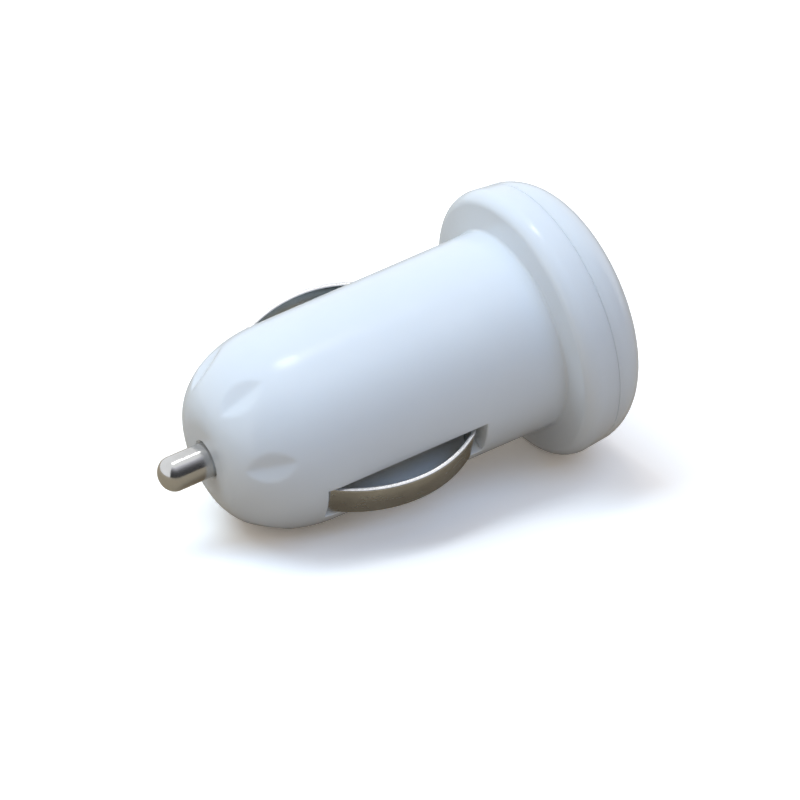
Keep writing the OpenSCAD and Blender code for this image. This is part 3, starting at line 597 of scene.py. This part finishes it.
def add_bar(bm, low, high, edge):
    """Adds a bar between two corners to bm, its edges rounded."""
    low, high = Vector(low), Vector(high)
    corners = bmesh.ops.create_cube(bm, size=1)["verts"]
    bmesh.ops.scale(bm, vec=high - low, verts=corners)
    bmesh.ops.translate(bm, vec=(low + high) / 2, verts=corners)
    edges = [e for e in bm.edges if all(v in corners for v in e.verts)]
    bmesh.ops.bevel(bm, geom=edges, offset=edge, affect="EDGES", segments=2, profile=0.5,
                    material=-1)


# Two pairs of moulded rails in the bore guide the edges of the circuit board.
rail_x = 7.15 * mm
rail_root_x = bore_r + 0.1 * mm
rail_y = 0.6 * mm
rail_t = 1 * mm
rail_z0 = 7.4 * mm
rail_z1 = 16.7 * mm
rail_edge = 0.08 * mm
bm = bmesh.new()
for low_x, high_x in ((rail_x, rail_root_x), (-rail_root_x, -rail_x)):
    for low_y in (rail_y, -rail_y - rail_t):
        add_bar(bm, (low_x, low_y, rail_z0), (high_x, low_y + rail_t, rail_z1), rail_edge)
new_piece("board_rails", bm, "charger", housing_white)

# Face cap
# A second white moulding that snaps into the flange. Its rounded edge ends in a flat face with
# the sloping mouth of the USB port and the round hole of the lamp.
face_r = 9.5 * mm
face_wall = 1.3 * mm
skirt_r = flange_bore_r - 0.15 * mm
skirt_wall = 1.1 * mm
skirt_top_z = 6.3 * mm
skirt_slope = 2 * mm
port_w = 12.7 * mm
port_h = 5.32 * mm
port_slope = 0.6 * mm
port_corner = 0.35 * mm
port_cut_h = 3 * mm
lamp_at = 6.4 * mm
lamp_hole_r = 1.65 * mm
lamp_cut_h = 6 * mm
mouth_edge = 0.07 * mm

half = Profile(face_r, 0)
half.arc((face_r, seam_z), (seam_r - face_r, seam_z), 270, 350, 24)
half.line(seam_r, seam_z - seam_chamfer, 2)
half.line(seam_r - seam_chamfer, seam_z)
half.line(skirt_r, seam_z)
half.line(skirt_r, skirt_top_z)
half.line(skirt_r - skirt_wall, skirt_top_z)
half.line(skirt_r - skirt_wall, face_wall + skirt_slope)
half.line(skirt_r - skirt_wall - skirt_slope, face_wall)
bm = half.turned()
for z in (0, face_wall):
    rim = [e for e in bm.edges if e.is_boundary and all(abs(v.co.z - z) < 1e-7 for v in e.verts)]
    bmesh.ops.contextual_create(bm, geom=rim)
bmesh.ops.recalc_face_normals(bm, faces=bm.faces)
cap_white = moulded_plastic(
    "cap_white", (0.845, 0.88, 0.915), (0.82, 0.86, 0.9), 0.15, 0.24, 0.12)
let_light_in(cap_white)
cap = new_piece("cap", bm, "charger", cap_white, replaced=["head_cap"])


def cut(piece, bm):
    """Cuts the closed shape bm out of the piece."""
    bmesh.ops.recalc_face_normals(bm, faces=bm.faces)
    mesh = bpy.data.meshes.new("cutter")
    bm.to_mesh(mesh)
    bm.free()
    cutter = bpy.data.objects.new("cutter", mesh)
    bpy.context.scene.collection.objects.link(cutter)
    modifier = piece.modifiers.new("cut", "BOOLEAN")
    modifier.operation = "DIFFERENCE"
    modifier.object = cutter
    modifier.solver = "EXACT"
    bpy.context.view_layer.update()
    evaluated = piece.evaluated_get(bpy.context.evaluated_depsgraph_get())
    shaped = bpy.data.meshes.new_from_object(evaluated)
    piece.modifiers.clear()
    piece.data = shaped
    bpy.data.objects.remove(cutter)


bm = bmesh.new()
bmesh.ops.create_grid(bm, x_segments=1, y_segments=1, size=0.5)
bmesh.ops.scale(bm, vec=(port_w, port_h, 1), verts=bm.verts)
bmesh.ops.bevel(bm, geom=bm.verts[:], offset=port_corner, affect="VERTICES", segments=4,
                profile=0.5, material=-1)
flare = 2 * port_slope
bmesh.ops.translate(bm, vec=(0, 0, port_slope - flare), verts=bm.verts)
bottom = bm.faces[:]
raised = bmesh.ops.extrude_face_region(bm, geom=bottom, use_keep_orig=True)
top = [f for f in raised["geom"] if isinstance(f, bmesh.types.BMFace)]
bmesh.ops.scale(bm, vec=((port_w + 2 * flare) / port_w, (port_h + 2 * flare) / port_h, 1),
                verts=bottom[0].verts[:])
bmesh.ops.translate(bm, vec=(0, 0, flare), verts=top[0].verts[:])
raised = bmesh.ops.extrude_face_region(bm, geom=top)
bmesh.ops.translate(bm, vec=(0, 0, port_cut_h),
                    verts=[v for v in raised["geom"] if isinstance(v, bmesh.types.BMVert)])
bmesh.ops.delete(bm, geom=top, context="FACES_ONLY")
cut(cap, bm)
bm = bmesh.new()
bmesh.ops.create_cone(bm, cap_ends=True, segments=72, radius1=lamp_hole_r, radius2=lamp_hole_r,
                      depth=lamp_cut_h, matrix=Matrix.Translation((0, -lamp_at, 0)))
cut(cap, bm)
softened = cap.modifiers.new("softened edges", "BEVEL")
softened.width = mouth_edge
softened.segments = 2
softened.limit_method = "ANGLE"
softened.angle_limit = radians(38)
softened.harden_normals = False

# Centre pin
# Turned from brass rod and nickel plated: a round end, a collar that stops inside the nose and
# a spigot for the spring. It slides in the housing's sleeve.
pin_r = 1.725 * mm
pin_round = 1.5 * mm
pin_tip_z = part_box("centre_pin")[1].z
pin_low_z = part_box("centre_pin")[0].z
collar_r = 3.1 * mm
collar_top_z = 40.25 * mm
collar_low_z = 39.05 * mm
spigot_r = 1.25 * mm
spigot_chamfer = 0.3 * mm
pin_neck = 0.15 * mm

half = Profile(0, pin_low_z)
half.line(spigot_r - spigot_chamfer, pin_low_z)
half.line(spigot_r, pin_low_z + spigot_chamfer)
half.line(spigot_r, collar_low_z)
half.line(collar_r, collar_low_z)
half.line(collar_r, collar_top_z)
half.line(pin_r, collar_top_z)
half.line(pin_r, pin_tip_z - pin_round - pin_neck)
half.arc((0, pin_tip_z - pin_round), (pin_r, pin_round), 0, 90, 28)
bm = half.turned(160)

# Plated metal: a slightly uneven tone, faint tarnish and hairline marks drawn along one axis.
plated, inlet, outlet = shader_group(
    "plated_metal",
    {"Bright": ("Color", (1, 1, 1, 1)), "Tarnish": ("Color", (0.5, 0.45, 0.4, 1)),
     "Marks": ("Vector", (1, 1, 1)), "Rough low": ("Float", 0.15), "Rough high": ("Float", 0.3),
     "Scratch": ("Float", 0.2)},
    {"Color": "Color", "Roughness": "Float", "Normal": "Vector"})
place = node(plated, "TexCoord").outputs["Object"]
drawn = node(plated, "VectorMath", operation="MULTIPLY")
plated.links.new(place, drawn.inputs[0])
plated.links.new(inlet.outputs["Marks"], drawn.inputs[1])
hairlines = grown(plated, drawn.outputs[0], 1500, 4, 0.6)
patches = grown(plated, place, 260, 4, 0.6)
blend = node(plated, "Mix", data_type="RGBA")
plated.links.new(spread(plated, patches, 0, 1), blend.inputs["Factor"])
plated.links.new(inlet.outputs["Bright"], blend.inputs[6])
plated.links.new(inlet.outputs["Tarnish"], blend.inputs[7])
marks = node(plated, "Bump", Distance=0.00002)
plated.links.new(hairlines, marks.inputs["Height"])
plated.links.new(inlet.outputs["Scratch"], marks.inputs["Strength"])
plated.links.new(blend.outputs[2], outlet.inputs["Color"])
plated.links.new(spread(plated, hairlines, inlet.outputs["Rough low"], inlet.outputs["Rough high"]),
                 outlet.inputs["Roughness"])
plated.links.new(marks.outputs[0], outlet.inputs["Normal"])


def plated_material(name, bright, tarnish, drawn_along, rough_low, rough_high, scratch):
    """A metal finish between two tones, with hairlines stretched along one axis."""
    material, tree, shader = new_material(name)
    finish = node(tree, "Group", node_tree=plated)
    finish.inputs["Bright"].default_value = (*bright, 1)
    finish.inputs["Tarnish"].default_value = (*tarnish, 1)
    finish.inputs["Marks"].default_value = drawn_along
    finish.inputs["Rough low"].default_value = rough_low
    finish.inputs["Rough high"].default_value = rough_high
    finish.inputs["Scratch"].default_value = scratch
    tree.links.new(finish.outputs["Color"], shader.inputs["Base Color"])
    tree.links.new(finish.outputs["Roughness"], shader.inputs["Roughness"])
    tree.links.new(finish.outputs["Normal"], shader.inputs["Normal"])
    shader.inputs["Metallic"].default_value = 1
    return material


pin_nickel = plated_material(
    "pin_nickel", (0.66, 0.67, 0.68), (0.56, 0.56, 0.56), (1, 1, 0.15), 0.13, 0.22, 0.3)
new_piece("pin", bm, "pin", pin_nickel, replaced=["centre_pin"])

# Side contacts
# Each is one strip of nickel plated spring steel, bent to a bow. Its hooked end is held beside
# the pin's sleeve, and its free tail dips back through the slot into the housing.
strip_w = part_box("right_contact")[1].y * 2
strip_t = 0.5 * mm
strip_edge = 0.11 * mm
crest_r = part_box("right_contact")[1].x
crest_share = 0.469
crest_z = slot_z0 + (slot_z1 - slot_z0) * crest_share
tail_bend = (bore_r - 0.25 * mm, slot_z0 + 3.25 * mm)
tail_bend_r = 2.6 * mm
tail_angle = 75
tail_len = 0.8 * mm
hook_bend_r = 0.8 * mm
hook_foot_r = 0.3 * mm
hook_x = bore_r - 0.8 * mm
hook_z = slot_z1 - 0.15 * mm
hook_bend = (shoulder_r - 1.3 * mm, hook_z - hook_bend_r)
hook_end_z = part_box("right_contact")[1].z


def bow_radius(length, depth, bend_r):
    """Radius of the arc from the crest that runs smoothly into a bend at that length and depth."""
    return (length ** 2 + depth ** 2 - bend_r ** 2) / (2 * (depth - bend_r))


head_bow_r = bow_radius(crest_z - tail_bend[1], crest_r - tail_bend[0], tail_bend_r)
nose_bow_r = bow_radius(hook_bend[1] - crest_z, crest_r - hook_bend[0], hook_bend_r)
dive_angle = asin((crest_z - tail_bend[1]) / (head_bow_r - tail_bend_r)) * 180 / pi
bend_angle = asin((hook_bend[1] - crest_z) / (nose_bow_r - hook_bend_r)) * 180 / pi


def swept(bm, edges, centre, angle, steps):
    """Carries the strip's end on round centre in the XZ plane, outwards to up."""
    made = bmesh.ops.spin(bm, geom=edges, cent=(centre[0], 0, centre[1]), axis=(0, -1, 0),
                          angle=radians(angle), steps=steps)
    return [g for g in made["geom_last"] if isinstance(g, bmesh.types.BMEdge)]


def pushed(bm, edges, x, z):
    """Carries the strip's end on in a straight line."""
    made = bmesh.ops.extrude_edge_only(bm, edges=edges)
    verts = [g for g in made["geom"] if isinstance(g, bmesh.types.BMVert)]
    bmesh.ops.translate(bm, vec=(x, 0, z), verts=verts)
    ends = set(verts)
    return [g for g in made["geom"]
            if isinstance(g, bmesh.types.BMEdge) and all(v in ends for v in g.verts)]


def bent_strip():
    """The right contact, swept from its tail over its crest to the end of its hook."""
    bm = bmesh.new()
    tail = radians(tail_angle)
    corners = []
    for inset, y in ((0, -1), (0, 1), (strip_t, 1), (strip_t, -1)):
        r = tail_bend_r - inset
        x = tail_bend[0] + r * cos(tail) - tail_len * sin(tail)
        z = tail_bend[1] - r * sin(tail) - tail_len * cos(tail)
        corners.append(bm.verts.new((x, y * strip_w / 2, z)))
    end = [bm.edges.new((corners[i], corners[(i + 1) % 4])) for i in range(4)]
    start = end[:]
    end = pushed(bm, end, tail_len * sin(tail), tail_len * cos(tail))
    end = swept(bm, end, tail_bend, tail_angle - dive_angle, 14)
    end = swept(bm, end, (crest_r - head_bow_r, crest_z), dive_angle, 28)
    end = swept(bm, end, (crest_r - nose_bow_r, crest_z), bend_angle, 28)
    end = swept(bm, end, hook_bend, 90 - bend_angle, 12)
    end = pushed(bm, end, hook_x + hook_foot_r - hook_bend[0], 0)
    end = swept(bm, end, (hook_x + hook_foot_r, hook_z + hook_foot_r), -90, 8)
    end = pushed(bm, end, 0, hook_end_z - hook_z - hook_foot_r)
    bmesh.ops.contextual_create(bm, geom=start)
    bmesh.ops.contextual_create(bm, geom=end)
    bmesh.ops.remove_doubles(bm, verts=bm.verts, dist=1e-7)
    bmesh.ops.recalc_face_normals(bm, faces=bm.faces)
    sharp = [e for e in bm.edges if e.calc_face_angle(0) > radians(60)]
    bmesh.ops.bevel(bm, geom=sharp, offset=strip_edge, affect="EDGES", segments=3, profile=0.5,
                    material=-1)
    return bm


strip_nickel = plated_material(
    "strip_nickel", (0.66, 0.67, 0.66), (0.52, 0.52, 0.5), (1, 1, 0.12), 0.17, 0.3, 0.3)

# The edges were sheared after plating. Their colour is painted lighter and bluer than the drawn
# faces, a painted highlight along each edge that dark nicks break up.
tree = strip_nickel.node_tree
shader = tree.nodes["Principled BSDF"]
across = node(tree, "SeparateXYZ")
tree.links.new(node(tree, "TexCoord").outputs["Object"], across.inputs[0])
off_middle = node(tree, "Math", operation="ABSOLUTE")
tree.links.new(across.outputs["Y"], off_middle.inputs[0])
edge_highlight_band = node(tree, "MapRange")
edge_highlight_band.inputs["From Min"].default_value = strip_w / 2 - 1.2 * strip_edge
edge_highlight_band.inputs["From Max"].default_value = strip_w / 2 - 0.4 * strip_edge
tree.links.new(off_middle.outputs[0], edge_highlight_band.inputs["Value"])
nicks = grown(tree, tree.nodes["Texture Coordinate"].outputs["Object"], 4200, 3, 0.7)
nicked_highlight = node(tree, "Math", operation="MULTIPLY")
tree.links.new(edge_highlight_band.outputs[0], nicked_highlight.inputs[0])
tree.links.new(spread(tree, nicks, 0.35, 1.0), nicked_highlight.inputs[1])
edge_highlighted = node(tree, "Mix", data_type="RGBA")
tree.links.new(nicked_highlight.outputs[0], edge_highlighted.inputs["Factor"])
tree.links.new(shader.inputs["Base Color"].links[0].from_socket, edge_highlighted.inputs[6])
# painted highlight colour along the sheared edges
edge_highlighted.inputs[7].default_value = (0.87, 0.89, 0.93, 1)
tree.links.new(edge_highlighted.outputs[2], shader.inputs["Base Color"])
new_piece("right_strip", bent_strip(), "right_strip", strip_nickel,
          replaced=["right_contact"])
bm = bent_strip()
bmesh.ops.rotate(bm, verts=bm.verts, matrix=Matrix.Rotation(pi, 3, "Z"))
new_piece("left_strip", bm, "left_strip", strip_nickel, replaced=["left_contact"])

# Spring and its seat
# The coil behind the pin is drawn steel wire, with one closed turn at each end. It stands in a
# pressed brass cup that is soldered to the end of the board.
spring_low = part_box("pin_spring")[0].z
spring_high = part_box("pin_spring")[1].z
spring_r = 2.35 * mm
spring_wire = 0.5 * mm
spring_turns = 5
turn_parts = 40
closed_rise = spring_wire * 1.05
open_rise = (spring_high - spring_low - spring_wire - 2 * closed_rise) / (spring_turns - 2)

bm = bmesh.new()
bmesh.ops.create_circle(bm, cap_ends=True, radius=spring_wire / 2, segments=14)
bmesh.ops.rotate(bm, verts=bm.verts, matrix=Matrix.Rotation(pi / 2, 3, "X"))
bmesh.ops.translate(bm, vec=(spring_r, 0, spring_low + spring_wire / 2), verts=bm.verts)
end = bm.verts[:] + bm.edges[:] + bm.faces[:]
for turns, rise in ((1, closed_rise), (spring_turns - 2, open_rise), (1, closed_rise)):
    coiled = bmesh.ops.spin(bm, geom=end, cent=(0, 0, 0), axis=(0, 0, 1), angle=2 * pi * turns,
                            steps=turn_parts * turns, dvec=(0, 0, rise / turn_parts))
    end = coiled["geom_last"]
bmesh.ops.remove_doubles(bm, verts=bm.verts, dist=1e-7)
inner = [f for f in bm.faces if all(len(e.link_faces) > 2 for e in f.edges)]
bmesh.ops.delete(bm, geom=inner, context="FACES_ONLY")
bmesh.ops.recalc_face_normals(bm, faces=bm.faces)
drawn_wire = plated_material(
    "spring_wire", (0.6, 0.6, 0.6), (0.48, 0.46, 0.44), (1, 1, 1), 0.22, 0.35, 0.2)
spring = new_piece("spring", bm, "charger", drawn_wire, replaced=["pin_spring"])
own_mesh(spring)


def dress(material, *names):
    """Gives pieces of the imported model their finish."""
    for name in names:
        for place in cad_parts[name].material_slots:
            place.material = material


seat_brass = plated_material(
    "seat_brass", (0.78, 0.6, 0.32), (0.6, 0.42, 0.2), (1, 1, 1), 0.25, 0.4, 0.2)
dress(seat_brass, "spring_seat")

# USB socket
# A shell folded from tinned steel sheet holds a moulded block with its tongue, and four gold
# plated blades lie on the tongue.
shell_steel = plated_material(
    "shell_steel", (0.72, 0.72, 0.71), (0.6, 0.59, 0.57), (0.15, 1, 1), 0.22, 0.36, 0.25)
dress(shell_steel, "usb_shell")
contact_gold = plated_material(
    "contact_gold", (0.86, 0.66, 0.3), (0.74, 0.52, 0.2), (1, 1, 0.2), 0.15, 0.28, 0.2)
dress(contact_gold, "usb_contacts")
tongue_plastic = moulded_plastic(
    "tongue_plastic", (0.8, 0.8, 0.78), (0.74, 0.74, 0.72), 0.35, 0.5, 0.2)
dress(tongue_plastic, "usb_insulator")

# Status lamp
# Clear epoxy is cast round the cup and the post of a lead frame. The cup holds the small chip
# that gives the light, and two tinned leads go on to the board.
lamp_base_z = 5.2 * mm
lamp_lead_x = 1.27 * mm
cup_r = 0.55 * mm
cup_wall = 0.1 * mm
cup_mouth_z = 2.2 * mm
cup_h = 0.45 * mm
cup_floor_z = cup_mouth_z + cup_h - 0.12 * mm
cup_foot_z = cup_mouth_z + cup_h + cup_wall
anvil_x = (-lamp_lead_x - 0.25 * mm, 0.5 * mm)
post_x = (0.8 * mm, lamp_lead_x + 0.05 * mm)
post_top_z = cup_mouth_z + 0.1 * mm
post_half_t = 0.2 * mm
post_edge = 0.06 * mm
chip_half = 0.13 * mm
chip_z = (cup_floor_z - 0.12 * mm, cup_floor_z + 0.01 * mm)
chip_edge = 0.01 * mm
lamp_epoxy = moulded_plastic(
    "lamp_epoxy", (0.95, 0.98, 1.0), (0.9, 0.95, 1.0), 0.02, 0.06, 0.04)
shader = lamp_epoxy.node_tree.nodes["Principled BSDF"]
shader.inputs["Transmission Weight"].default_value = 1
shader.inputs["IOR"].default_value = 1.54
dress(lamp_epoxy, "status_lamp")
tinned = plated_material("lead_tin", (0.75, 0.75, 0.74), (0.6, 0.6, 0.6), (1, 1, 1), 0.25, 0.42, 0.3)


half = Profile(0, cup_floor_z)
half.line(cup_r * 0.45, cup_floor_z)
half.line(cup_r, cup_mouth_z)
half.line(cup_r + cup_wall, cup_mouth_z)
half.line(cup_r + cup_wall, cup_foot_z)
half.line(0, cup_foot_z)
cup = half.turned(48)
bmesh.ops.translate(cup, vec=(0, -lamp_at, 0), verts=cup.verts)
new_piece("lamp_cup", cup, "charger", tinned)
for name, ends_x, top_z in (
        ("lamp_anvil", anvil_x, cup_foot_z), ("lamp_post", post_x, post_top_z)):
    bm = bmesh.new()
    add_bar(bm, (ends_x[0], -lamp_at - post_half_t, top_z),
            (ends_x[1], -lamp_at + post_half_t, lamp_base_z), post_edge)
    new_piece(name, bm, "charger", tinned)
bm = bmesh.new()
add_bar(bm, (-chip_half, -lamp_at - chip_half, chip_z[0]),
        (chip_half, -lamp_at + chip_half, chip_z[1]), chip_edge)
lamp_chip = moulded_plastic("lamp_chip", (0.85, 0.7, 0.25), (0.8, 0.62, 0.18), 0.3, 0.4, 0.1)
new_piece("lamp_chip", bm, "charger", lamp_chip)

# Leads and coil
# The leads of the lamp, capacitors, chip and diode are tinned copper, and the inductor is wound
# with enamelled copper wire.
dress(tinned, "lamp_leads", "capacitor_leads", "chip_leads", "diode_leads")
copper_wire = plated_material(
    "copper_wire", (0.62, 0.24, 0.1), (0.45, 0.15, 0.06), (1, 0.2, 1), 0.2, 0.34, 0.25)
dress(copper_wire, "inductor_winding")

# Board and what it carries
# A green board of glass fibre carries the step-down converter: ferrite core, capacitors in black
# sleeves, chip and diode in black epoxy, fuse, small ceramic capacitors and resistors.
for name, pale, deep, gloss_low, gloss_high, ripple, carried in (
        ("board_mask", (0.02, 0.16, 0.06), (0.015, 0.11, 0.04), 0.25, 0.4, 0.3, ("circuit_board",)),
        ("ferrite", (0.07, 0.07, 0.075), (0.04, 0.04, 0.045), 0.5, 0.7, 0.6, ("inductor_core",)),
        ("sleeve", (0.03, 0.04, 0.06), (0.02, 0.03, 0.045), 0.18, 0.3, 0.3,
         ("input_capacitor", "output_capacitor")),
        ("black_epoxy", (0.03, 0.03, 0.032), (0.02, 0.02, 0.022), 0.4, 0.55, 0.5,
         ("converter_chip", "schottky_diode")),
        ("fuse_body", (0.75, 0.73, 0.62), (0.68, 0.65, 0.52), 0.3, 0.5, 0.3, ("chip_fuse",)),
        ("ceramic", (0.48, 0.36, 0.22), (0.4, 0.28, 0.16), 0.3, 0.45, 0.3, ("ceramic_capacitors",)),
        ("glaze", (0.05, 0.05, 0.055), (0.03, 0.03, 0.035), 0.3, 0.45, 0.3, ("chip_resistors",))):
    dress(moulded_plastic(name, pale, deep, gloss_low, gloss_high, ripple), *carried)
